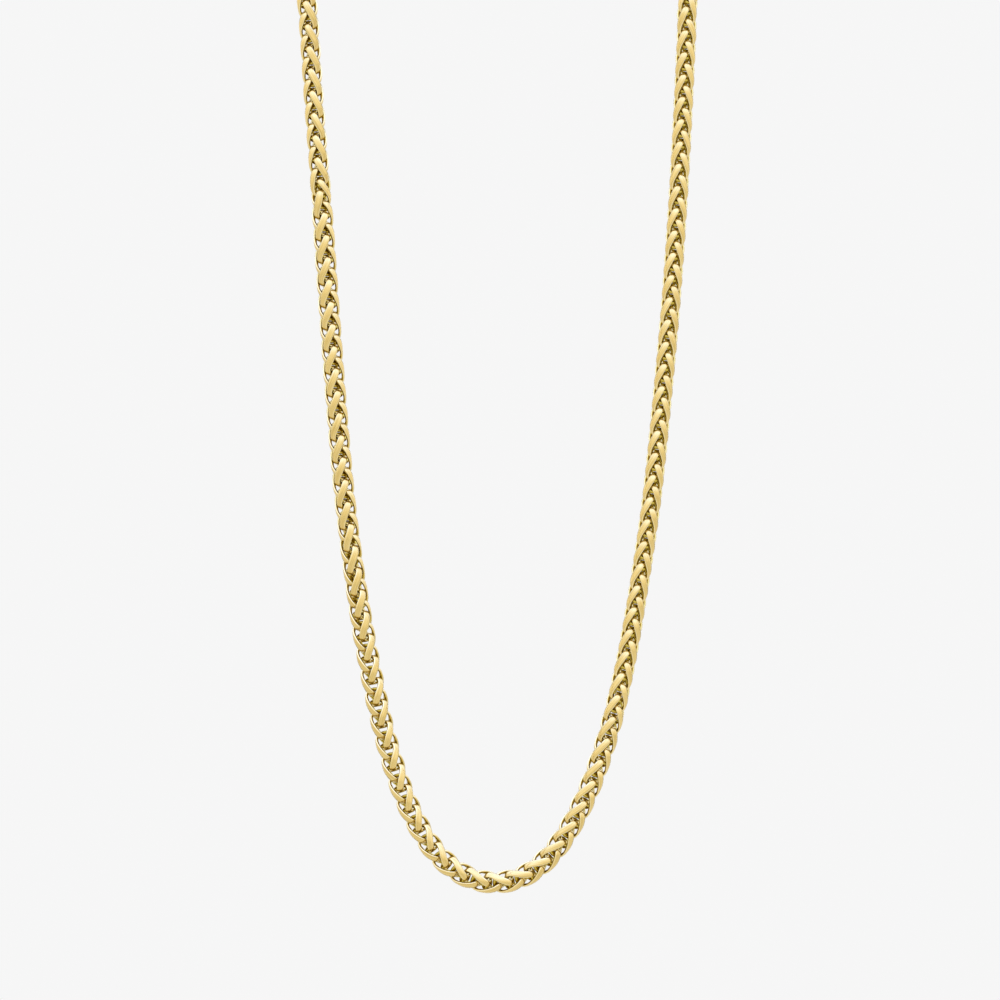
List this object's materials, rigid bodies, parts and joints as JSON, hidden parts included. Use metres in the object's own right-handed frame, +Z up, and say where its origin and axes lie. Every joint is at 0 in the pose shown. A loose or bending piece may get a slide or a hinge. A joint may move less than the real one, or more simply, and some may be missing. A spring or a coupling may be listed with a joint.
{
  "type": "wheat chain necklace",
  "caption": "Gold wheat chain necklace, a clasped loop hanging as worn, with end caps, jump rings and a claw clasp at the nape.",
  "frame": {"origin": "the nape: the middle of the closed clasp, where the loop hangs on the back of a neck", "axes": "+Z up, -Y the way the wearer faces, +X to the right of someone who looks at the wearer"},
  "size_m": [0.0982, 0.0755, 0.2283],
  "materials": {
    "polished_gold": "polished yellow gold links with fine draw lines",
    "fitting_gold": "polished yellow gold"
  },
  "bodies": {
    "root": {"chain_left": "polished_gold", "chain_right": "polished_gold", "end_cap_left": "fitting_gold", "end_cap_right": "fitting_gold", "ring_left": "fitting_gold", "ring_right": "fitting_gold", "clasp": "fitting_gold"}
  },
  "joints": []
}
